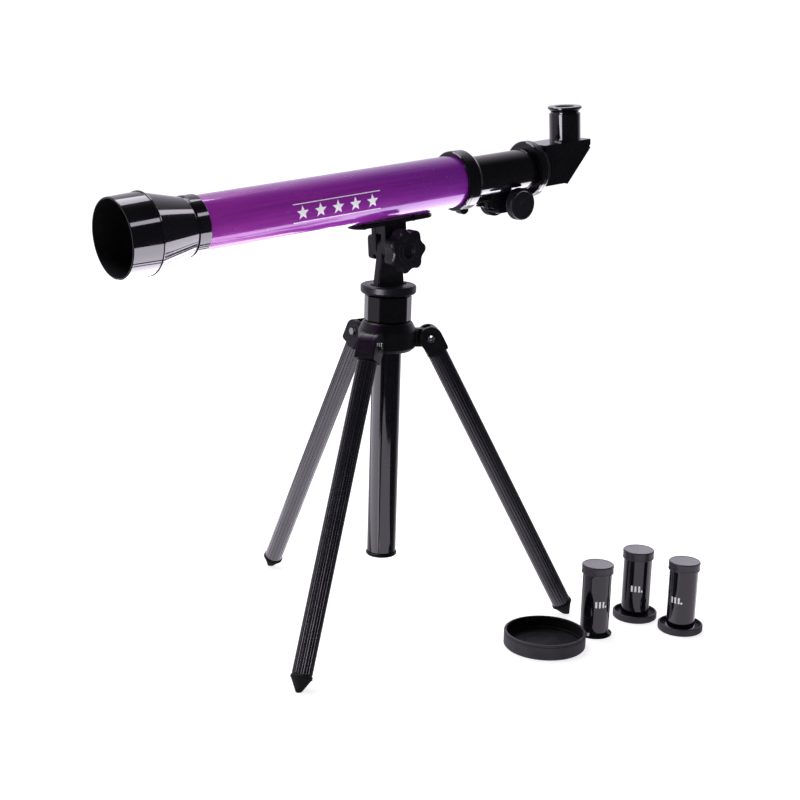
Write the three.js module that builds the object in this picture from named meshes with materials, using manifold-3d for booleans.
// A small refracting telescope on a folding table tripod, with its dust cap and spare eyepieces.
//
// Millimetres, +Z up. +X runs towards the eyepiece end and -Y is the side with the tilt knob.
// The tripod stands on Z = 0. Inside the optical tube's group the origin is the tilt bolt,
// X runs along the tube and Z stands square to it.
import * as THREE from "three";
import { mergeVertices } from "three/addons/utils/BufferGeometryUtils.js";
import Module from "manifold-3d";

const wasm = await Module();
wasm.setup();

const rad = THREE.MathUtils.degToRad;

// ---------------------------------------------------------------- driving dimensions

const FIT = 0.3; // gap between pieces that touch or slide
const ROUND_LARGE = 28;
const ROUND_MEDIUM = 16;
const ROUND_SMALL = 10;

// tripod
const LEG_COUNT = 3;
const LEG_NAMES = ["right", "back", "front"];
const LEG_FIRST_ANGLE = -30;
const LEG_SPLAY = 27.9;
const LEG_REACH = 240.7; // hinge pin to the point where the leg's axis meets the floor
const LEG_R = 7;
const LEG_WALL = 1.1;
const HINGE_OUT = 10; // hub's wall to the hinge pins
const HINGE_PIN_R = 1.8;
const HINGE_HEAD_R = 2.8;
const LUG_THICKNESS = 7;
const LUG_END_R = 6.5;
const CHEEK_THICKNESS = 3.5;
const LEG_TOP_LIP = 1.5; // the fitting's radius over the leg's
const LEG_TOP_LENGTH = 12.5;
const LEG_TOP_COVER = 3.8; // how far inside the outer wall curls over the hub's lug
const LEG_TOP_SPIGOT = 15;
const FOOT_LENGTH = 11;
const FOOT_RIM = 0.6;
const FOOT_TIP_R = 1.9;
const HUB_WALL = 9.8;
const HUB_HEIGHT = 21;
const HUB_BELOW_HINGE = 8.7;
const COLLET_HEIGHT = 12;
const COLLET_WALL = 2.3;
const COLLAR_WALL = 6.1;
const COLLAR_HEIGHT = 18.7;
const COLLAR_FLATS = 10;
const COLLAR_CORNER = 31.3; // angle of a corner of its flats
const COLUMN_R = 10.4;
const COLUMN_WALL = 1.5;
const COLUMN_LENGTH = 190;
const END_CAP_LIP = 0.8;
const END_CAP_RIM = 2.6;
const END_CAP_PLUG = 8;

// pan and tilt head
const PAN_DISC_R = 19.7;
const PAN_DISC_HEIGHT = 6.5;
const PAN_SPINDLE_R = 5;
const PAN_SCREW_R = 1.5;
const PAN_SCREW_DEPTH = 10;
const PAN_SCREW_HEAD_R = 7.4;
const PAN_SCREW_HEAD = 3;
const BUSHING_LENGTH = 14;
const UPRIGHT_THICKNESS = 5.4;
const UPRIGHT_BASE_WIDTH = 24;
const UPRIGHT_TOP_R = 9.2;
const PIVOT_ABOVE_DISC = 26;
const TILT_BOLT_R = 2.4;
const BOLT_HEAD_R = 4.6;
const BOLT_HEAD_DEPTH = 3.5;
const CLEVIS_WIDTH = 19;
const CLEVIS_DEPTH = 16;
const CLEVIS_TOP = 17.6; // tilt bolt to the underside of the saddle plate
const NUT_BOSS_R = 9;
const NUT_BOSS_DEPTH = 6;
const SADDLE_FRONT = 33.5;
const SADDLE_REAR = 36.5;
const SADDLE_WIDTH = 18;
const SADDLE_THICKNESS = 2.2;
const SADDLE_SCREW_R = 1.3;
const SADDLE_SCREW_OFFSET = 22;
const TILT_KNOB_R = 15.8;
const TILT_KNOB_LOBES = 7;
const TILT_KNOB_LOBE_DEPTH = 2.6;
const TILT_KNOB_THICKNESS = 10.5;
const TILT_KNOB_BOSS = 3.2;

// optical tube
const TUBE_PITCH = 5; // eyepiece end up, as it is stored
const TUBE_R = 18.5;
const TUBE_WALL = 1;
const TUBE_SHOWN = 213.5;
const TUBE_AHEAD = 155.3; // bare tube in front of the tilt bolt
const BAFFLE_AHEAD = 60;
const BAFFLE_HOLE_R = 11;
const HOOD_FLARE = 7.3; // hood's rim over the tube's radius
const HOOD_TAPER = 0.5;
const HOOD_WALL = 1.4;
const HOOD_LENGTH = 22;
const HOOD_LIP = 0.6;
const HOOD_LIP_WIDTH = 1.2;
const CONE_LENGTH = 28.4;
const NECK_LENGTH = 9.3;
const NECK_WALL = 0.9;
const WAIST = 0.8;
const CELL_AHEAD = 13;
const CELL_BEHIND = 8;
const CELL_FLANGE = 1;
const LENS_EDGE = 2.2;
const LENS_BULGE = 1.2;
const LENS_SEAT = 1.4;
const LENS_POCKET_DEPTH = 7.5;

// focuser
const CAP_SKIRT = 2.6;
const CAP_LENGTH = 13.8;
const CAP_LUG_INSET = 6; // how far the lug under the cap starts behind its front
const CAP_LUG_WIDTH = 6;
const CAP_LUG_DEPTH = 3;
const CAP_WALL = 2.5;
const BARREL_R = 15.1;
const BARREL_WALL = 1.2;
const BARREL_LENGTH = 57;
const DRAW_WALL = 1.4;
const DRAW_LENGTH = 46;
const DRAW_RING_R = 20.5;
const DRAW_RING_WIDTH = 7;
const GEAR_MODULE = 0.8;
const PINION_TEETH = 9;
const PINION_WIDTH = 5;
const RACK_WIDTH = 5;
const RACK_BACK = 1.6;
const RACK_FRONT_GAP = 6;
const RACK_BEHIND_HOUSING = 6; // toothed length past the housing's end
const TOOTH_PLAY = 0.16;
const PINION_BEHIND_CAP = 39.5;
const HOUSING_FRONT = 24;
const HOUSING_REAR = 7.5;
const HOUSING_WIDTH = 15;
const HOUSING_BELOW_AXIS = 4.4;
const COVER_THICKNESS = 1.5;
const COVER_LENGTH = 20.5;
const COVER_SCREW_R = 0.9;
const COVER_SCREW_DEPTH = 3;
const COVER_SCREW_INSET = [4, 1.8]; // front and rear screws from the cover's ends
const SHAFT_R = 1.5;
const FOCUS_KNOB_R = 11.7;
const FOCUS_KNOB_THICKNESS = 6.7;
const FOCUS_KNOB_BOSS = 3.5;

// star diagonal
const EYE_AXIS_BEHIND_RING = 35.6;
const DIAGONAL_SHOULDER = 1.8; // socket's bore to the diagonal's side
const DIAGONAL_TOP = 17.2;
const DIAGONAL_BOTTOM = 13.2;
const DIAGONAL_WALL = 1.5;
const DIAGONAL_BACK = 15;
const DIAGONAL_SPIGOT = 15;
const DIAGONAL_COLLAR_R = 17.6;
const DIAGONAL_COLLAR_WIDTH = 4.2;
const SPIGOT_WALL = 1.4;
const MIRROR_THICKNESS = 1.5;
const MIRROR_COVER_THICKNESS = 1.3;
const SOCKET_TOP = 37.2;
const SOCKET_WALL = 1;

// eyepieces and dust cap
const EYEPIECE_R = 10.4;
const EYEPIECE_WALL = 1.4;
const EYE_FLANGE_LIP = 2.4;
const EYE_FLANGE_THICKNESS = 2.2;
const EYE_HOLE_R = 4.6;
const EYE_SEAT_DEPTH = 4;
const EYE_LENS_EDGE = 2.4;
const EYE_LENS_R = 6.2;
const FIELD_LENS_GAP = 0.5;
const FIELD_RING_WALL = 1.6;
const FITTED_LENGTH = 28;
const FITTED_SHOWN = 1.8; // bare barrel between the socket and the flange
const SPARE_LENGTH = 52;
const SPARE_CAP_WALL = 0.8;
const SPARE_CAP_TOP = 1.2;
const SPARE_CAP_DEPTH = 6.5;
const GUARD_LIP = 6;
const GUARD_HEIGHT = 5.5;
const GUARD_WALL = 1.4;
const GUARD_FLOOR = 1.8;
const CAP_RIM_HEIGHT = 11.5;
const DUST_CAP_WALL = 2;
const DUST_CAP_FLOOR = 1.8;

// where the loose pieces stand, from the tripod's axis
const DUST_CAP_PLACE = [65.5, -107.5];
const SPARE_PLACES = [
  { name: "spare_eyepiece_a", place: [112, -111.5], guard: false },
  { name: "spare_eyepiece_b", place: [161, -106], guard: true },
  { name: "spare_eyepiece_c", place: [170, -143], guard: true },
];

// ---------------------------------------------------------------- places that follow from them

const LEG_TOP_R = LEG_R + LEG_TOP_LIP;
const FOOT_RIM_R = LEG_R + FOOT_RIM;
const HINGE_Z = LEG_REACH * Math.cos(rad(LEG_SPLAY));
const HUB_BOTTOM = HINGE_Z - HUB_BELOW_HINGE;
const HUB_TOP = HUB_BOTTOM + HUB_HEIGHT;
const COLLAR_BOTTOM = HUB_TOP + FIT;
const COLUMN_TOP = COLLAR_BOTTOM + COLLAR_HEIGHT;
const COLUMN_BORE_R = COLUMN_R - COLUMN_WALL;
const GUIDE_R = COLUMN_R + FIT;
const HUB_R = GUIDE_R + HUB_WALL;
const HINGE_RADIUS = HUB_R + HINGE_OUT;
const COLLAR_R = GUIDE_R + COLLAR_WALL;
const END_CAP_R = COLUMN_R + END_CAP_LIP;
const DISC_BOTTOM = COLUMN_TOP + FIT;
const DISC_TOP = DISC_BOTTOM + PAN_DISC_HEIGHT;
const PIVOT_Z = DISC_TOP + PIVOT_ABOVE_DISC;

const SADDLE_TOP = CLEVIS_TOP + SADDLE_THICKNESS;
const TUBE_AXIS = SADDLE_TOP + FIT + TUBE_R;
const TUBE_BORE_R = TUBE_R - TUBE_WALL;
const NECK_R = TUBE_R + FIT + NECK_WALL;
const HOOD_RIM_R = TUBE_R + HOOD_FLARE;
const HOOD_REAR_R = HOOD_RIM_R + HOOD_TAPER;
const CAP_R = TUBE_R + FIT + CAP_SKIRT;
const HOOD_FRONT = -TUBE_AHEAD - NECK_LENGTH - CONE_LENGTH - HOOD_LENGTH;
const NECK_FRONT = -TUBE_AHEAD - NECK_LENGTH;
const TUBE_STOP = NECK_FRONT + WAIST; // shoulder in the hood that the cell's flange seats on
const CELL_SEAT = TUBE_STOP + FIT;
const TUBE_FRONT = CELL_SEAT + CELL_FLANGE + FIT;
const CELL_R = TUBE_BORE_R - FIT;
const LENS_BACK = CELL_SEAT - CELL_AHEAD + LENS_POCKET_DEPTH - FIT;
const CAP_FRONT = TUBE_SHOWN - TUBE_AHEAD;
const TUBE_END = CAP_FRONT + CAP_LENGTH - CAP_WALL - FIT;
const BARREL_FRONT = CAP_FRONT + CAP_LENGTH;
const BARREL_END = BARREL_FRONT + BARREL_LENGTH;
const BARREL_BORE_R = BARREL_R - BARREL_WALL;
const RING_FRONT = BARREL_END + 2 * FIT;
const RING_END = RING_FRONT + DRAW_RING_WIDTH;
const DRAW_R = BARREL_BORE_R - FIT;
const DRAW_BORE_R = DRAW_R - DRAW_WALL;

const PITCH_R = (GEAR_MODULE * PINION_TEETH) / 2;
const TOOTH_OUT = 0.9 * GEAR_MODULE;
const TOOTH_IN = 1.2 * GEAR_MODULE;
const RACK_TOP = -BARREL_R - 2 * FIT;
const RACK_PITCH = RACK_TOP - RACK_BACK - TOOTH_IN;
const PINION_H = RACK_PITCH - PITCH_R;
const PINION_X = BARREL_FRONT + PINION_BEHIND_CAP;
const HOUSING_BOTTOM = PINION_H - HOUSING_BELOW_AXIS;
const HOUSING_END = PINION_X + HOUSING_REAR;
const COVER_FRONT = HOUSING_END - COVER_LENGTH;
const COVER_SCREW_PLACES = [COVER_FRONT + COVER_SCREW_INSET[0], HOUSING_END - COVER_SCREW_INSET[1]];

const EYE_X = RING_END + EYE_AXIS_BEHIND_RING;
const SPIGOT_R = DRAW_BORE_R - FIT;
const DIAGONAL_FRONT = RING_END + FIT;
const SOCKET_BORE_R = EYEPIECE_R + FIT;
const DIAGONAL_WIDTH = 2 * (SOCKET_BORE_R + DIAGONAL_SHOULDER);
const EYE_BORE_R = EYEPIECE_R - EYEPIECE_WALL;
const EYE_FLANGE_R = EYEPIECE_R + EYE_FLANGE_LIP;
const FIELD_LENS_R = EYE_BORE_R - FIELD_LENS_GAP;
const GUARD_R = EYEPIECE_R + GUARD_LIP;
const SOCKET_R = SOCKET_BORE_R + SOCKET_WALL;
const LIP_R = HOOD_REAR_R + HOOD_LIP;

// ---------------------------------------------------------------- finishes

const finish = (color, roughness, metalness = 0) => ({ color, roughness, metalness });
const PURPLE_GLOSS = finish(0x6b1f96, 0.18);
const BLACK_GLOSS = finish(0x0a0a0c, 0.15);
const BLACK_SATIN = finish(0x17171a, 0.45);
const BLACK_MATT = finish(0x1d1d20, 0.75);
const RUBBER = finish(0x121214, 0.85);
const CHROME = finish(0xc9cbd0, 0.2, 1);
const ZINC = finish(0x9a9da2, 0.4, 1);
const GLASS = finish(0xcfe2ea, 0.03);
const SILVERED = finish(0xdfe4e8, 0.04, 1);

// ---------------------------------------------------------------- geometry helpers

/** A closed geometry with shared corners, no collapsed triangles and its faces pointing out. */
function weld(source) {
  const geometry = source.clone();
  geometry.deleteAttribute("normal");
  geometry.deleteAttribute("uv");
  const merged = mergeVertices(geometry, 1e-4);
  const index = merged.index.array;
  const kept = [];
  for (let i = 0; i < index.length; i += 3) {
    const [a, b, c] = [index[i], index[i + 1], index[i + 2]];
    if (a !== b && b !== c && c !== a) kept.push(a, b, c);
  }
  merged.setIndex(volumeOf(merged.attributes.position, kept) < 0 ? kept.reverse() : kept);
  return merged;
}

/** Six times the signed volume inside a closed triangle list. */
function volumeOf(position, index) {
  const [a, b, c] = [new THREE.Vector3(), new THREE.Vector3(), new THREE.Vector3()];
  let sum = 0;
  for (let i = 0; i < index.length; i += 3) {
    a.fromBufferAttribute(position, index[i]);
    b.fromBufferAttribute(position, index[i + 1]);
    c.fromBufferAttribute(position, index[i + 2]);
    sum += a.dot(b.cross(c));
  }
  return sum;
}

const toSolid = (geometry) => {
  const welded = weld(geometry);
  return new wasm.Manifold(
    new wasm.Mesh({
      numProp: 3,
      vertProperties: new Float32Array(welded.attributes.position.array),
      triVerts: new Uint32Array(welded.index.array),
    }),
  );
};

const toGeometry = (solid) => {
  const mesh = solid.getMesh();
  const geometry = new THREE.BufferGeometry();
  geometry.setAttribute("position", new THREE.BufferAttribute(mesh.vertProperties, 3));
  geometry.setIndex(new THREE.BufferAttribute(mesh.triVerts, 1));
  return geometry;
};

/** The first geometries joined, with the others cut away. */
function shaped(joined, removed = []) {
  let solid = toSolid(joined[0]);
  for (const other of joined.slice(1)) solid = solid.add(toSolid(other));
  for (const other of removed) solid = solid.subtract(toSolid(other));
  return toGeometry(solid);
}

/** A turned piece about Z from [radius, height] pairs, closed on the axis or on itself. */
function turned(profile, segments = ROUND_MEDIUM) {
  const points = profile.map(([r, z]) => new THREE.Vector2(r, z));
  const onAxis = points[0].x === 0 && points.at(-1).x === 0;
  if (!onAxis) points.push(points[0].clone());
  return new THREE.LatheGeometry(points, segments).rotateX(Math.PI / 2);
}

const rod = (r, z0, z1, segments = ROUND_SMALL) =>
  turned([[0, z0], [r, z0], [r, z1], [0, z1]], segments);

const sleeve = (outer, inner, z0, z1, segments = ROUND_MEDIUM) =>
  turned([[inner, z0], [outer, z0], [outer, z1], [inner, z1]], segments);

/** Turns a piece made along Z so that it runs along X. */
const alongX = (geometry) => geometry.rotateY(Math.PI / 2);

/** Turns a piece made along Z so that it runs along Y. */
const alongY = (geometry) => geometry.rotateX(-Math.PI / 2);

/** A block between two corners. */
const block = ([x0, y0, z0], [x1, y1, z1]) =>
  new THREE.BoxGeometry(x1 - x0, y1 - y0, z1 - z0).translate(
    (x0 + x1) / 2,
    (y0 + y1) / 2,
    (z0 + z1) / 2,
  );

/** An outline drawn in X and Z, given its thickness along Y from y0 to y1. */
function plate(shape, y0, y1, curveSegments = 12) {
  const depth = y1 - y0;
  const slab = new THREE.ExtrudeGeometry(shape, { depth, bevelEnabled: false, curveSegments });
  return slab.rotateX(Math.PI / 2).translate(0, y1, 0);
}

const outline = (points) => new THREE.Shape(points.map(([x, z]) => new THREE.Vector2(x, z)));

/** Points along an arc about (cx, cz), both ends included. */
function arc(cx, cz, r, from, to, steps) {
  const step = (to - from) / steps;
  const at = (i) => [cx + r * Math.cos(rad(from + i * step)), cz + r * Math.sin(rad(from + i * step))];
  return Array.from({ length: steps + 1 }, (_, i) => at(i));
}

/** A double-bulged lens about Z, its rim from z0 to z0 + edge. */
function lens(r, z0, edge, bulge, segments = ROUND_MEDIUM) {
  const steps = 2;
  const side = (base, sign) =>
    Array.from({ length: steps + 1 }, (_, i) => {
      const share = i / steps;
      return [r * share, base + sign * bulge * (1 - share * share)];
    });
  const back = side(z0, -1);
  const front = side(z0 + edge, 1).reverse();
  return turned([...back, ...front], segments);
}

/** A named mesh in its own finish. */
function piece(name, geometry, look) {
  const mesh = new THREE.Mesh(weld(geometry), new THREE.MeshStandardMaterial(look));
  mesh.name = name;
  return mesh;
}

/** A group at a place, holding the given children. */
function groupAt([x, y, z], ...children) {
  const group = new THREE.Group();
  group.position.set(x, y, z);
  group.add(...children);
  return group;
}

// ---------------------------------------------------------------- tripod

/** Hub with a collet round the column and three hinge lugs. */
function tripodHub() {
  const top = HUB_TOP - HUB_BOTTOM;
  const body = turned(
    [
      [GUIDE_R, 0],
      [HUB_R - 3, 0],
      [HUB_R, 2.5],
      [HUB_R, top - 6],
      [HUB_R - 3.2, top],
      [GUIDE_R + COLLET_WALL, top],
      [GUIDE_R + COLLET_WALL, top + COLLET_HEIGHT],
      [GUIDE_R, top + COLLET_HEIGHT],
    ],
    ROUND_LARGE,
  );
  const half = LUG_THICKNESS / 2;
  const lugShape = outline([
    [HUB_R - 4, -LUG_END_R],
    ...arc(HINGE_RADIUS, 0, LUG_END_R, -90, 90, 10),
    [HUB_R - 4, LUG_END_R],
  ]);
  const lugs = [];
  const holes = [];
  for (let i = 0; i < LEG_COUNT; i++) {
    const turn = legAngle(i);
    const lift = HUB_BELOW_HINGE;
    lugs.push(plate(lugShape, -half, half).rotateZ(turn).translate(0, 0, lift));
    const hole = alongY(rod(HINGE_PIN_R + FIT, -half - 1, half + 1));
    holes.push(hole.translate(HINGE_RADIUS, 0, 0).rotateZ(turn).translate(0, 0, lift));
  }
  const mesh = piece("tripod_hub", shaped([body, ...lugs], holes), BLACK_SATIN);
  mesh.position.z = HUB_BOTTOM;
  return mesh;
}

function legAngle(i) {
  return rad(LEG_FIRST_ANGLE + (i * 360) / LEG_COUNT);
}

/** Leg fitting: two cheeks over the hub's lug, a closed outer wall and a spigot into the leg. */
function legTop() {
  const half = LUG_THICKNESS / 2 + FIT + CHEEK_THICKNESS;
  const inner = LEG_TOP_R - 1.5;
  const body = plate(
    outline([
      [-inner, -LEG_TOP_LENGTH],
      [LEG_TOP_R - 0.8, -LEG_TOP_LENGTH],
      [LEG_TOP_R, -LEG_TOP_LENGTH + 1.6],
      ...arc(0, 0, LEG_TOP_R, 0, 180, 14),
      [-inner, -8],
    ]),
    -half,
    half,
  );
  const spigotR = LEG_R - LEG_WALL - FIT;
  const spigot = rod(spigotR, -LEG_TOP_LENGTH - LEG_TOP_SPIGOT, -LEG_TOP_LENGTH + 1);
  const slotHalf = LUG_THICKNESS / 2 + FIT;
  const slot = block(
    [-LEG_TOP_R - 1, -slotHalf, -LUG_END_R - 0.7],
    [LEG_TOP_COVER, slotHalf, LEG_TOP_R + 1],
  );
  const swing = alongY(rod(LUG_END_R + 0.5, -slotHalf, slotHalf));
  const hole = alongY(rod(HINGE_PIN_R + FIT, -half - 1, half + 1));
  return shaped([body, spigot], [slot, swing, hole]);
}

/** Hinge screw with a domed head on one side and a flat nut on the other. */
function hingePin() {
  const half = LUG_THICKNESS / 2 + FIT + CHEEK_THICKNESS + FIT;
  return alongY(
    turned([
      [0, -half - 1.4],
      [HINGE_HEAD_R, -half - 1.4],
      [HINGE_HEAD_R, -half],
      [HINGE_PIN_R, -half],
      [HINGE_PIN_R, half],
      [HINGE_HEAD_R, half],
      [HINGE_HEAD_R, half + 1.2],
      [0, half + 1.2],
    ], ROUND_SMALL),
  );
}

const LEG_TUBE_END = -LEG_REACH + FOOT_LENGTH;

function legTube() {
  return sleeve(LEG_R, LEG_R - LEG_WALL, LEG_TUBE_END, -LEG_TOP_LENGTH - FIT);
}

/** Pointed foot with a rim, a plug in the leg, and a small flat worn to the floor. */
function foot() {
  const rim = LEG_TUBE_END - FIT;
  const plug = LEG_R - LEG_WALL - FIT;
  const cone = turned([
    [0, -LEG_REACH - 1.5],
    [FOOT_TIP_R, -LEG_REACH - 1.5],
    [LEG_R - 0.4, rim - 2.4],
    [FOOT_RIM_R, rim - 2.4],
    [FOOT_RIM_R, rim],
    [plug, rim],
    [plug, rim + 10],
    [0, rim + 10],
  ]);
  const ground = block([-40, -40, -60], [40, 40, 0]);
  ground.rotateY(rad(LEG_SPLAY)).translate(0, 0, -LEG_REACH);
  return shaped([cone], [ground]);
}

/** One leg, hinged at the hub and splayed out to the floor. */
function leg(i) {
  const name = LEG_NAMES[i];
  const pieces = [
    piece(`leg_top_${name}`, legTop(), BLACK_SATIN),
    piece(`hinge_pin_${name}`, hingePin(), CHROME),
    piece(`leg_tube_${name}`, legTube(), BLACK_SATIN),
    piece(`foot_${name}`, foot(), RUBBER),
  ];
  const splayed = groupAt([HINGE_RADIUS, 0, HINGE_Z], ...pieces);
  splayed.rotation.y = -rad(LEG_SPLAY);
  const turnedLeg = groupAt([0, 0, 0], splayed);
  turnedLeg.rotation.z = legAngle(i);
  return turnedLeg;
}

/** Sliding centre column, open along its length. */
function centreColumn() {
  const tube = sleeve(COLUMN_R, COLUMN_BORE_R, COLUMN_TOP - COLUMN_LENGTH, COLUMN_TOP);
  return piece("centre_column", tube, BLACK_GLOSS);
}

/** Plug in the column's foot, whose rim stops the column in the hub. */
function columnEndCap() {
  const top = COLUMN_TOP - COLUMN_LENGTH - FIT;
  const plug = COLUMN_BORE_R - FIT;
  const cap = turned([
    [0, top - END_CAP_RIM],
    [END_CAP_R, top - END_CAP_RIM],
    [END_CAP_R, top],
    [plug, top],
    [plug, top + END_CAP_PLUG],
    [0, top + END_CAP_PLUG],
  ]);
  return piece("column_end_cap", cap, BLACK_SATIN);
}

/** Twist collar that squeezes the collet on the column, with flats round it for the fingers. */
function lockCollar() {
  const top = COLLAR_HEIGHT - FIT;
  const outer = turned([[0, 0], [COLLAR_R, 0], [COLLAR_R, top], [0, top]], COLLAR_FLATS);
  outer.rotateZ(rad(90 + COLLAR_CORNER));
  const chamber = rod(GUIDE_R + COLLET_WALL + FIT, -1, COLLET_HEIGHT + FIT, ROUND_LARGE);
  const guide = rod(GUIDE_R, -1, top + 1, ROUND_LARGE);
  const collar = shaped([outer], [chamber, guide]);
  const mesh = piece("column_lock_collar", collar, BLACK_GLOSS);
  mesh.position.z = COLLAR_BOTTOM;
  return mesh;
}

// ---------------------------------------------------------------- pan and tilt head

/** Bearing bush fixed in the column's top for the pan spindle. */
function panBushing() {
  const bush = sleeve(COLUMN_BORE_R - FIT, PAN_SPINDLE_R + FIT, -BUSHING_LENGTH, 0);
  const mesh = piece("pan_bushing", bush, BLACK_MATT);
  mesh.position.z = COLUMN_TOP;
  return mesh;
}

/** Pan disc with its spindle below and the tilt tongue above. */
function panHead() {
  const disc = turned(
    [
      [0, DISC_BOTTOM],
      [PAN_DISC_R, DISC_BOTTOM],
      [PAN_DISC_R, DISC_TOP],
      [0, DISC_TOP],
    ],
    ROUND_LARGE,
  );
  const spindleEnd = COLUMN_TOP - BUSHING_LENGTH - FIT;
  const spindle = rod(PAN_SPINDLE_R, spindleEnd, DISC_BOTTOM + 1);
  const half = UPRIGHT_THICKNESS / 2;
  const tongueShape = outline([
    [-UPRIGHT_BASE_WIDTH / 2, DISC_TOP - 1],
    [UPRIGHT_BASE_WIDTH / 2, DISC_TOP - 1],
    ...arc(0, PIVOT_Z, UPRIGHT_TOP_R, -8, 188, 16),
  ]);
  const tongue = plate(tongueShape, -half, half);
  const boltHole = alongY(rod(TILT_BOLT_R + FIT, -half - 1, half + 1)).translate(0, 0, PIVOT_Z);
  const screwHole = rod(PAN_SCREW_R + FIT, spindleEnd - 1, spindleEnd + PAN_SCREW_DEPTH + FIT);
  const body = shaped([disc, spindle, tongue], [boltHole, screwHole]);
  return piece("pan_head", body, BLACK_SATIN);
}

/** Screw up into the spindle, whose wide head keeps the head on the column. */
function panRetainingScrew() {
  const top = COLUMN_TOP - BUSHING_LENGTH - 2 * FIT;
  const screw = turned([
    [0, top - PAN_SCREW_HEAD],
    [PAN_SCREW_HEAD_R, top - PAN_SCREW_HEAD],
    [PAN_SCREW_HEAD_R, top],
    [PAN_SCREW_R, top],
    [PAN_SCREW_R, top + PAN_SCREW_DEPTH],
    [0, top + PAN_SCREW_DEPTH],
  ], ROUND_SMALL);
  return piece("pan_retaining_screw", screw, ZINC);
}

/** Saddle plate under the tube, with a clevis over the tongue and a boss for the bolt head. */
function saddleBracket() {
  const halfWidth = CLEVIS_WIDTH / 2;
  const halfDepth = CLEVIS_DEPTH / 2;
  const clevis = plate(
    outline([
      [halfWidth, CLEVIS_TOP + 1],
      [-halfWidth, CLEVIS_TOP + 1],
      ...arc(0, 0, halfWidth, 180, 360, 14),
    ]),
    -halfDepth,
    halfDepth,
  );
  const boss = alongY(rod(NUT_BOSS_R, halfDepth - 1, halfDepth + NUT_BOSS_DEPTH, ROUND_MEDIUM));
  const end = SADDLE_WIDTH / 2;
  const frontX = -SADDLE_FRONT + end;
  const rearX = SADDLE_REAR - end;
  const rounded = outline([...arc(frontX, 0, end, 90, 270, 10), ...arc(rearX, 0, end, -90, 90, 10)]);
  const options = { depth: SADDLE_THICKNESS, bevelEnabled: false };
  const saddle = new THREE.ExtrudeGeometry(rounded, options).translate(0, 0, CLEVIS_TOP);
  const slotHalf = UPRIGHT_THICKNESS / 2 + FIT;
  const slotTop = UPRIGHT_TOP_R + 1.6;
  const slot = block([-halfWidth - 1, -slotHalf, -halfWidth - 1], [halfWidth + 1, slotHalf, slotTop]);
  const through = halfDepth + NUT_BOSS_DEPTH + 1;
  const boltHole = alongY(rod(TILT_BOLT_R + FIT, -through, through));
  const headHole = alongY(rod(BOLT_HEAD_R + FIT, halfDepth + NUT_BOSS_DEPTH - BOLT_HEAD_DEPTH, through));
  const screwHoles = [-1, 1].map((side) =>
    rod(SADDLE_SCREW_R + FIT, CLEVIS_TOP - 1, SADDLE_TOP + 1).translate(side * SADDLE_SCREW_OFFSET, 0, 0),
  );
  const body = shaped([clevis, boss, saddle], [slot, boltHole, headHole, ...screwHoles]);
  return piece("saddle_bracket", body, BLACK_SATIN);
}

/** Clamp bolt: its head sits in the far boss and its thread ends in the knob. */
function tiltBolt() {
  const headEnd = CLEVIS_DEPTH / 2 + NUT_BOSS_DEPTH;
  const headStart = headEnd - BOLT_HEAD_DEPTH + FIT;
  const tip = -CLEVIS_DEPTH / 2 - TILT_KNOB_BOSS - TILT_KNOB_THICKNESS + 3;
  const shank = alongY(rod(TILT_BOLT_R, tip, headStart + 1));
  const head = alongY(rod(BOLT_HEAD_R, headStart, headEnd, 6));
  return piece("tilt_bolt", shaped([shank, head]), ZINC);
}

/** Seven-lobed clamp knob with a blind hole for the bolt and a boss towards the clevis. */
function tiltKnob() {
  const steps = TILT_KNOB_LOBES * 6;
  const mean = TILT_KNOB_R - TILT_KNOB_LOBE_DEPTH / 2;
  const rim = Array.from({ length: steps }, (_, i) => {
    const angle = (i / steps) * 2 * Math.PI;
    const r = mean + (TILT_KNOB_LOBE_DEPTH / 2) * Math.cos(TILT_KNOB_LOBES * angle);
    return [r * Math.cos(angle), r * Math.sin(angle)];
  });
  const back = -CLEVIS_DEPTH / 2 - FIT;
  const star = back - TILT_KNOB_BOSS;
  const face = star - TILT_KNOB_THICKNESS;
  const body = plate(outline(rim), face, star);
  const boss = alongY(rod(7.5, star - 1, back));
  const hole = alongY(rod(TILT_BOLT_R + FIT, face + 2.4, back + 1));
  const dish = alongY(rod(5, face - 1, face + 1));
  return piece("tilt_knob", shaped([body, boss], [hole, dish]), BLACK_SATIN);
}

/** Screw up through the saddle plate into the tube. */
function saddleScrew(name, x) {
  const screw = turned([
    [0, CLEVIS_TOP - FIT - 1.6],
    [2.7, CLEVIS_TOP - FIT - 1.6],
    [2.7, CLEVIS_TOP - FIT],
    [SADDLE_SCREW_R, CLEVIS_TOP - FIT],
    [SADDLE_SCREW_R, SADDLE_TOP + TUBE_WALL + 4],
    [0, SADDLE_TOP + TUBE_WALL + 4],
  ], ROUND_SMALL);
  return piece(name, screw.translate(x, 0, 0), CHROME);
}

// ---------------------------------------------------------------- optical tube

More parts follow.
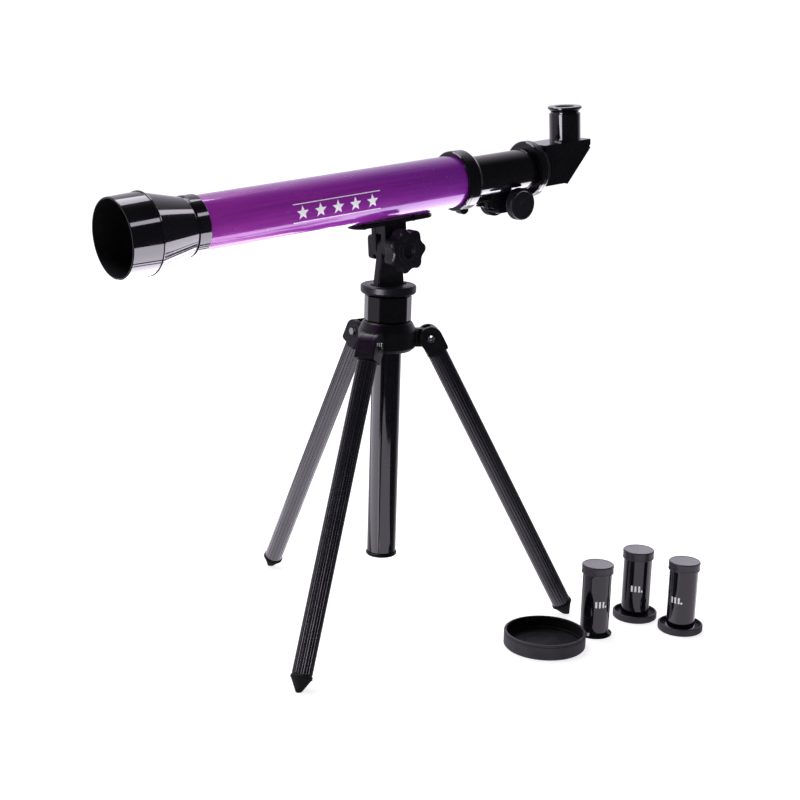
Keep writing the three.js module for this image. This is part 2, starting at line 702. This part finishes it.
/** Hood, cone and neck in one moulding; the tube pushes into the neck. */
function dewShield() {
  const coneStart = HOOD_LENGTH;
  const coneEnd = coneStart + CONE_LENGTH;
  const end = coneEnd + NECK_LENGTH;
  const waistR = NECK_R - WAIST;
  const throatR = waistR - HOOD_WALL + 0.4;
  const boreR = TUBE_R + FIT;
  const shell = turned(
    [
      [HOOD_RIM_R - HOOD_WALL, 0],
      [HOOD_RIM_R, 0],
      [HOOD_REAR_R, coneStart - HOOD_LIP_WIDTH],
      [LIP_R, coneStart - HOOD_LIP_WIDTH],
      [LIP_R, coneStart],
      [HOOD_REAR_R - 0.6, coneStart],
      [waistR, coneEnd],
      [NECK_R, coneEnd + WAIST],
      [NECK_R, end],
      [boreR, end],
      [boreR, coneEnd + WAIST],
      [throatR, coneEnd + WAIST],
      [throatR, coneEnd - 2],
      [HOOD_REAR_R - 0.6 - HOOD_WALL, coneStart + 1.5],
      [HOOD_REAR_R - HOOD_WALL, coneStart - 1.5],
    ],
    ROUND_LARGE,
  );
  return piece("dew_shield", alongX(shell).translate(HOOD_FRONT, 0, TUBE_AXIS), BLACK_GLOSS);
}

/** Cell that seats the objective and plugs the tube's front end. */
function objectiveCell() {
  const lensPocket = CELL_R - LENS_SEAT;
  const front = -CELL_AHEAD;
  const cell = turned(
    [
      [lensPocket, front],
      [CELL_R, front],
      [CELL_R, 0],
      [TUBE_R, 0],
      [TUBE_R, CELL_FLANGE],
      [CELL_R, CELL_FLANGE],
      [CELL_R, CELL_BEHIND],
      [lensPocket - LENS_SEAT, CELL_BEHIND],
      [lensPocket - LENS_SEAT, front + LENS_POCKET_DEPTH],
      [lensPocket, front + LENS_POCKET_DEPTH],
    ],
    ROUND_LARGE,
  );
  return piece("objective_cell", alongX(cell).translate(CELL_SEAT, 0, TUBE_AXIS), BLACK_MATT);
}

function objectiveLens() {
  const r = CELL_R - LENS_SEAT - FIT;
  const glass = lens(r, -LENS_EDGE, LENS_EDGE, LENS_BULGE, ROUND_LARGE);
  return piece("objective_lens", alongX(glass).translate(LENS_BACK, 0, TUBE_AXIS), GLASS);
}

/** Ring that holds the objective in its cell. */
function lensRetainingRing() {
  const r = CELL_R - LENS_SEAT - FIT;
  const front = CELL_SEAT - CELL_AHEAD + 0.5;
  const back = LENS_BACK - LENS_EDGE - FIT;
  const ring = sleeve(r, r - 1.6, 0, back - front, ROUND_LARGE);
  return piece("lens_retaining_ring", alongX(ring).translate(front, 0, TUBE_AXIS), BLACK_MATT);
}

/** Main tube with the two saddle screw holes. */
function mainTube() {
  const tube = alongX(sleeve(TUBE_R, TUBE_BORE_R, TUBE_FRONT, TUBE_END, ROUND_LARGE));
  tube.translate(0, 0, TUBE_AXIS);
  const floor = TUBE_AXIS - TUBE_R;
  const holes = [-1, 1].map((side) =>
    rod(SADDLE_SCREW_R + FIT, floor - 1, floor + TUBE_WALL + 2).translate(side * SADDLE_SCREW_OFFSET, 0, 0),
  );
  return piece("main_tube", shaped([tube], holes), PURPLE_GLOSS);
}

function tubeBaffle() {
  const stop = alongX(sleeve(TUBE_BORE_R - FIT, BAFFLE_HOLE_R, 0, 1.5));
  return piece("tube_baffle", stop.translate(-BAFFLE_AHEAD, 0, TUBE_AXIS), BLACK_MATT);
}

// ---------------------------------------------------------------- focuser

/** Rear cap, focuser barrel and pinion housing in one moulding. */
function focuserBody() {
  const barrelStart = CAP_LENGTH;
  const end = CAP_LENGTH + BARREL_LENGTH;
  const skirtR = TUBE_R + FIT;
  const body = turned(
    [
      [skirtR, 0],
      [CAP_R, 0],
      [CAP_R, barrelStart - 3],
      [CAP_R - 2.4, barrelStart],
      [BARREL_R, barrelStart],
      [BARREL_R, end],
      [BARREL_BORE_R, end],
      [BARREL_BORE_R, barrelStart - CAP_WALL],
      [skirtR, barrelStart - CAP_WALL],
    ],
    ROUND_LARGE,
  );
  alongX(body).translate(CAP_FRONT, 0, 0);
  const half = HOUSING_WIDTH / 2;
  const wallTop = -Math.sqrt(BARREL_R ** 2 - half ** 2) + 0.8;
  const housing = block(
    [PINION_X - HOUSING_FRONT, -half, HOUSING_BOTTOM],
    [HOUSING_END, half, wallTop],
  );
  const channelHalf = RACK_WIDTH / 2 + FIT;
  const channelFloor = RACK_PITCH - TOOTH_OUT - FIT;
  const channel = block(
    [PINION_X - HOUSING_FRONT - 1, -channelHalf, channelFloor],
    [HOUSING_END + 1, channelHalf, RACK_TOP + FIT],
  );
  const cavityR = PITCH_R + TOOTH_OUT + FIT;
  const cavityHalf = PINION_WIDTH / 2 + FIT;
  const cavity = block(
    [PINION_X - cavityR, -cavityHalf, HOUSING_BOTTOM - 1],
    [PINION_X + cavityR, cavityHalf, RACK_PITCH],
  );
  const shaftHole = alongY(rod(SHAFT_R + FIT, -half - 1, half + 1)).translate(PINION_X, 0, PINION_H);
  const shaftSlot = block(
    [PINION_X - SHAFT_R - FIT, -half - 1, HOUSING_BOTTOM - 1],
    [PINION_X + SHAFT_R + FIT, half + 1, PINION_H],
  );
  const screwHoles = COVER_SCREW_PLACES.map((x) =>
    rod(COVER_SCREW_R + FIT, HOUSING_BOTTOM - 1, HOUSING_BOTTOM + COVER_SCREW_DEPTH + FIT).translate(x, 0, 0),
  );
  const lugHalf = CAP_LUG_WIDTH / 2;
  const lug = block(
    [CAP_FRONT + CAP_LUG_INSET, -lugHalf, -CAP_R - CAP_LUG_DEPTH],
    [CAP_FRONT + CAP_LENGTH - 3, lugHalf, -CAP_R + 1],
  );
  // the barrel keeps its wall where the rack's channel passes under it
  const cutBlock = shaped([housing], [channel]);
  const cleared = shaped([cutBlock], [alongX(rod(BARREL_BORE_R + 0.5, 0, 200, ROUND_LARGE))]);
  const joined = shaped([body, cleared, lug], [cavity, shaftHole, shaftSlot, ...screwHoles]);
  return piece("focuser_body", joined.translate(0, 0, TUBE_AXIS), BLACK_GLOSS);
}

/** Plate under the housing that keeps the pinion in its bearings. */
function pinionCover() {
  const half = HOUSING_WIDTH / 2;
  const top = HOUSING_BOTTOM - FIT;
  const slab = block([COVER_FRONT, -half, top - COVER_THICKNESS], [HOUSING_END, half, top]);
  const holes = COVER_SCREW_PLACES.map((x) =>
    rod(COVER_SCREW_R + FIT, top - COVER_THICKNESS - 1, top + 1).translate(x, 0, 0),
  );
  return piece("pinion_cover", shaped([slab], holes).translate(0, 0, TUBE_AXIS), BLACK_SATIN);
}

function coverScrew(name, x) {
  const seat = HOUSING_BOTTOM - 2 * FIT - COVER_THICKNESS;
  const tip = HOUSING_BOTTOM + COVER_SCREW_DEPTH;
  const screw = turned([
    [0, seat - 0.9],
    [1.7, seat - 0.9],
    [1.7, seat],
    [COVER_SCREW_R, seat],
    [COVER_SCREW_R, tip],
    [0, tip],
  ], ROUND_SMALL);
  return piece(name, screw.translate(x, 0, TUBE_AXIS), CHROME);
}

/** Draw tube with the wide ring that carries the rack. */
function drawTube() {
  const tube = turned(
    [
      [DRAW_BORE_R, RING_FRONT - DRAW_LENGTH],
      [DRAW_R, RING_FRONT - DRAW_LENGTH],
      [DRAW_R, RING_FRONT],
      [DRAW_RING_R, RING_FRONT],
      [DRAW_RING_R, RING_END],
      [DRAW_BORE_R, RING_END],
    ],
    ROUND_LARGE,
  );
  return piece("draw_tube", alongX(tube).translate(0, 0, TUBE_AXIS), BLACK_GLOSS);
}

/** Rack under the barrel, teeth down; a gap between teeth stands over the pinion's axis. */
function focusRack() {
  const pitch = Math.PI * GEAR_MODULE;
  const front = BARREL_FRONT + RACK_FRONT_GAP;
  const end = RING_FRONT - FIT;
  const tipHalf = pitch / 4 - TOOTH_PLAY - TOOTH_OUT * Math.tan(rad(20));
  const rootHalf = pitch / 4 - TOOTH_PLAY + TOOTH_IN * Math.tan(rad(20));
  const root = RACK_PITCH + TOOTH_IN;
  const tip = RACK_PITCH - TOOTH_OUT;
  const first = Math.ceil((front - PINION_X) / pitch);
  const last = Math.floor((HOUSING_REAR + RACK_BEHIND_HOUSING) / pitch);
  const teeth = [];
  for (let i = first; i < last; i++) {
    const centre = PINION_X + (i + 0.5) * pitch;
    teeth.push([centre - rootHalf, root], [centre - tipHalf, tip]);
    teeth.push([centre + tipHalf, tip], [centre + rootHalf, root]);
  }
  const profile = outline([[front, RACK_TOP], [front, root], ...teeth, [end, root], [end, RACK_TOP]]);
  const bar = plate(profile, -RACK_WIDTH / 2, RACK_WIDTH / 2);
  return piece("focus_rack", bar.translate(0, 0, TUBE_AXIS), BLACK_SATIN);
}

/** Pinion and its shaft, with a tooth pointing up into the rack. */
function pinionShaft() {
  const tipR = PITCH_R + TOOTH_OUT;
  const rootR = PITCH_R - TOOTH_IN;
  const step = 360 / PINION_TEETH;
  const pitchHalf = step / 4 - (TOOTH_PLAY / PITCH_R) * (180 / Math.PI);
  const rim = [];
  for (let i = 0; i < PINION_TEETH; i++) {
    const centre = 90 + i * step;
    const corner = (r, offset) => [
      r * Math.cos(rad(centre + offset)),
      r * Math.sin(rad(centre + offset)),
    ];
    rim.push(corner(rootR, -pitchHalf * 1.35), corner(PITCH_R, -pitchHalf), corner(tipR, -pitchHalf * 0.42));
    rim.push(corner(tipR, pitchHalf * 0.42), corner(PITCH_R, pitchHalf), corner(rootR, pitchHalf * 1.35));
  }
  const gear = plate(outline(rim), -PINION_WIDTH / 2, PINION_WIDTH / 2);
  const reach = HOUSING_WIDTH / 2 + FOCUS_KNOB_BOSS + FOCUS_KNOB_THICKNESS - 2;
  const shaft = alongY(rod(SHAFT_R, -reach, reach, 16));
  return piece("pinion_shaft", shaped([gear, shaft]), BLACK_MATT);
}

/** Focus knob with a boss towards the housing; side is -1 for the near one. */
function focusKnob(name, side) {
  const inner = HOUSING_WIDTH / 2 + FIT;
  const disc = inner + FOCUS_KNOB_BOSS;
  const face = disc + FOCUS_KNOB_THICKNESS;
  const holeR = SHAFT_R + FIT;
  const holeEnd = face - 1.6;
  const knob = turned([
    [0, holeEnd],
    [holeR, holeEnd],
    [holeR, inner],
    [4, inner],
    [4, disc],
    [FOCUS_KNOB_R, disc],
    [FOCUS_KNOB_R, face],
    [0, face],
  ]);
  return piece(name, side < 0 ? knob.rotateX(Math.PI / 2) : knob.rotateX(-Math.PI / 2), BLACK_SATIN);
}

// ---------------------------------------------------------------- star diagonal

/** Outline of the diagonal in X and Z, its slanted side moved out by the given distance. */
function diagonalOutline(inset, slant) {
  const front = DIAGONAL_FRONT + DIAGONAL_COLLAR_WIDTH - 1 + inset;
  const top = DIAGONAL_TOP - inset;
  const bottom = -DIAGONAL_BOTTOM + inset;
  const back = EYE_X + DIAGONAL_BACK - inset;
  const shift = slant * Math.SQRT2;
  return outline([
    [front, bottom],
    [EYE_X + shift + bottom, bottom],
    [back, back - EYE_X - shift],
    [back, top],
    [front, top],
  ]);
}

/** Elbow body: spigot in the draw tube, collar, box open at the slant, and eyepiece socket. */
function diagonalHousing() {
  const half = DIAGONAL_WIDTH / 2;
  const box = plate(diagonalOutline(0, MIRROR_THICKNESS), -half, half);
  const collarEnd = DIAGONAL_FRONT + DIAGONAL_COLLAR_WIDTH;
  const collar = turned(
    [
      [0, DIAGONAL_FRONT],
      [DIAGONAL_COLLAR_R, DIAGONAL_FRONT],
      [DIAGONAL_COLLAR_R, collarEnd],
      [0, collarEnd],
    ],
    ROUND_LARGE,
  );
  const spigot = alongX(rod(SPIGOT_R, DIAGONAL_FRONT - DIAGONAL_SPIGOT, DIAGONAL_FRONT + 1, ROUND_MEDIUM));
  const socket = rod(SOCKET_R, DIAGONAL_TOP - 1, SOCKET_TOP, ROUND_MEDIUM).translate(EYE_X, 0, 0);
  const innerHalf = half - DIAGONAL_WALL;
  const cavity = plate(diagonalOutline(DIAGONAL_WALL, 3 * MIRROR_THICKNESS), -innerHalf, innerHalf);
  const lightBore = alongX(
    rod(SPIGOT_R - SPIGOT_WALL, DIAGONAL_FRONT - DIAGONAL_SPIGOT - 1, collarEnd + 4, ROUND_MEDIUM),
  );
  const socketBore = rod(SOCKET_BORE_R, DIAGONAL_TOP - 3, SOCKET_TOP + 1, ROUND_MEDIUM);
  socketBore.translate(EYE_X, 0, 0);
  const body = shaped([alongX(collar), box, spigot, socket], [cavity, lightBore, socketBore]);
  return piece("diagonal_housing", body.translate(0, 0, TUBE_AXIS), BLACK_GLOSS);
}

/** A flat piece on the slant: u runs up the slope, and depth is counted out from the mirror face. */
function slantPlate(uLow, uHigh, halfWidth, depth0, depth1) {
  const slab = block([uLow, -halfWidth, -depth1], [uHigh, halfWidth, -depth0]);
  return slab.rotateY(-Math.PI / 4).translate(EYE_X, 0, TUBE_AXIS);
}

function diagonalMirror() {
  const half = DIAGONAL_WIDTH / 2 - DIAGONAL_WALL - FIT;
  const low = -(DIAGONAL_BOTTOM - DIAGONAL_WALL - FIT) * Math.SQRT2 + MIRROR_THICKNESS;
  const high = (DIAGONAL_BACK - DIAGONAL_WALL - FIT) * Math.SQRT2 - 2 * MIRROR_THICKNESS;
  const glass = slantPlate(low, high, half, 0, MIRROR_THICKNESS - FIT);
  return piece("diagonal_mirror", glass, SILVERED);
}

/** Slanted back cover behind the mirror. */
function mirrorCover() {
  const half = DIAGONAL_WIDTH / 2;
  const inner = MIRROR_THICKNESS + FIT;
  const low = -DIAGONAL_BOTTOM * Math.SQRT2 + inner;
  const high = DIAGONAL_BACK * Math.SQRT2 - inner - MIRROR_COVER_THICKNESS;
  const lid = slantPlate(low, high, half, inner, inner + MIRROR_COVER_THICKNESS);
  return piece("mirror_cover", lid, BLACK_GLOSS);
}

// ---------------------------------------------------------------- eyepieces

/** Eyepiece barrel about Z: field end at 0, eye end at length, with an optional flat flange. */
function eyepieceBarrel(length, flanged) {
  const seat = length - EYE_SEAT_DEPTH;
  const lensBoreStart = seat - 8;
  const flange = [
    [EYEPIECE_R, length - EYE_FLANGE_THICKNESS - 0.9],
    [EYE_FLANGE_R, length - EYE_FLANGE_THICKNESS + 0.6],
    [EYE_FLANGE_R, length],
  ];
  const plain = [[EYEPIECE_R, length]];
  return turned([
    [EYE_BORE_R, 0],
    [EYEPIECE_R, 0],
    ...(flanged ? flange : plain),
    [EYE_HOLE_R + 2.6, length],
    [EYE_HOLE_R, length - 2],
    [EYE_HOLE_R, seat],
    [EYE_LENS_R + FIT, seat],
    [EYE_LENS_R + FIT, lensBoreStart],
    [EYE_BORE_R, lensBoreStart],
  ]);
}

const eyeLens = (length) =>
  lens(EYE_LENS_R, length - EYE_SEAT_DEPTH - 2 * FIT - EYE_LENS_EDGE, EYE_LENS_EDGE, 0.8, ROUND_SMALL);

/** The eyepiece in use, its flange above the socket. */
function fittedEyepiece() {
  const fieldZ = TUBE_AXIS + SOCKET_TOP + FITTED_SHOWN + EYE_FLANGE_THICKNESS + 0.9 - FITTED_LENGTH;
  const ring = sleeve(EYE_BORE_R - FIT, EYE_BORE_R - FIT - FIELD_RING_WALL, 0.4, 2.4);
  const fieldGlass = lens(FIELD_LENS_R, 3.6, 2, 0.8);
  return groupAt(
    [EYE_X, 0, fieldZ],
    piece("eyepiece_barrel", eyepieceBarrel(FITTED_LENGTH, true), BLACK_GLOSS),
    piece("eyepiece_eye_lens", eyeLens(FITTED_LENGTH), GLASS),
    piece("eyepiece_field_lens", fieldGlass, GLASS),
    piece("eyepiece_field_ring", ring, BLACK_MATT),
  );
}

/** Closed cap over a spare eyepiece's field end. */
function spareCap() {
  const bore = EYEPIECE_R + FIT;
  const outer = bore + SPARE_CAP_WALL;
  const inside = -FIT;
  const top = inside - SPARE_CAP_TOP;
  const rim = top + SPARE_CAP_DEPTH;
  return turned([
    [0, top],
    [outer, top],
    [outer, rim],
    [bore, rim],
    [bore, inside],
    [0, inside],
  ]);
}

/** Saucer that guards the eye, pushed on the barrel's eye end. */
function eyeGuard(length) {
  const hole = EYEPIECE_R + FIT;
  const floor = length - GUARD_FLOOR;
  return turned([
    [hole, length],
    [GUARD_R, length],
    [GUARD_R, length - GUARD_HEIGHT],
    [GUARD_R - GUARD_WALL, length - GUARD_HEIGHT],
    [GUARD_R - GUARD_WALL, floor],
    [hole, floor],
  ]);
}

/** A spare eyepiece standing on its eye end, so its own Z points down. */
function spareEyepiece({ name, place, guard }) {
  const pieces = [
    piece(`${name}_barrel`, eyepieceBarrel(SPARE_LENGTH, !guard), BLACK_GLOSS),
    piece(`${name}_cap`, spareCap(), BLACK_SATIN),
    piece(`${name}_eye_lens`, eyeLens(SPARE_LENGTH), GLASS),
  ];
  if (guard) pieces.push(piece(`${name}_guard`, eyeGuard(SPARE_LENGTH), BLACK_SATIN));
  const standing = groupAt([place[0], place[1], SPARE_LENGTH], ...pieces);
  standing.rotation.x = Math.PI;
  return standing;
}

/** Dust cap lying open side up; it pushes over the hood's lip. */
function dustCap() {
  const bore = LIP_R + FIT;
  const outer = bore + DUST_CAP_WALL;
  const cup = turned(
    [
      [0, 0],
      [outer, 0],
      [outer, CAP_RIM_HEIGHT],
      [bore, CAP_RIM_HEIGHT],
      [bore, DUST_CAP_FLOOR],
      [0, DUST_CAP_FLOOR],
    ],
    ROUND_LARGE,
  );
  return piece("dust_cap", cup.translate(DUST_CAP_PLACE[0], DUST_CAP_PLACE[1], 0), BLACK_MATT);
}

// ---------------------------------------------------------------- assembly

/** Everything that tilts with the tube, about the tilt bolt. */
function telescope() {
  const focusShaft = groupAt(
    [PINION_X, 0, TUBE_AXIS + PINION_H],
    pinionShaft(),
    focusKnob("focus_knob_near", -1),
    focusKnob("focus_knob_far", 1),
  );
  const tilted = groupAt(
    [0, 0, PIVOT_Z],
    saddleBracket(),
    saddleScrew("saddle_screw_front", -SADDLE_SCREW_OFFSET),
    saddleScrew("saddle_screw_rear", SADDLE_SCREW_OFFSET),
    tiltBolt(),
    tiltKnob(),
    mainTube(),
    tubeBaffle(),
    dewShield(),
    objectiveCell(),
    objectiveLens(),
    lensRetainingRing(),
    focuserBody(),
    pinionCover(),
    coverScrew("pinion_cover_screw_front", COVER_SCREW_PLACES[0]),
    coverScrew("pinion_cover_screw_rear", COVER_SCREW_PLACES[1]),
    drawTube(),
    focusRack(),
    focusShaft,
    diagonalHousing(),
    diagonalMirror(),
    mirrorCover(),
    fittedEyepiece(),
  );
  tilted.rotation.y = -rad(TUBE_PITCH);
  return tilted;
}

/** Tripod, head and telescope, with the loose pieces standing beside them. */
function telescopeOnTripod() {
  const model = new THREE.Group();
  model.add(tripodHub(), lockCollar(), centreColumn(), columnEndCap(), panBushing());
  model.add(panHead(), panRetainingScrew(), telescope(), dustCap());
  for (let i = 0; i < LEG_COUNT; i++) model.add(leg(i));
  for (const spare of SPARE_PLACES) model.add(spareEyepiece(spare));
  return model;
}

/** Moves the model so that the middle of its footprint is the origin. */
function centredOnFootprint(model) {
  model.updateMatrixWorld(true);
  const box = new THREE.Box3().setFromObject(model, true);
  model.position.x = -(box.min.x + box.max.x) / 2;
  model.position.y = -(box.min.y + box.max.y) / 2;
  return model;
}

const group = centredOnFootprint(telescopeOnTripod());

export default group;
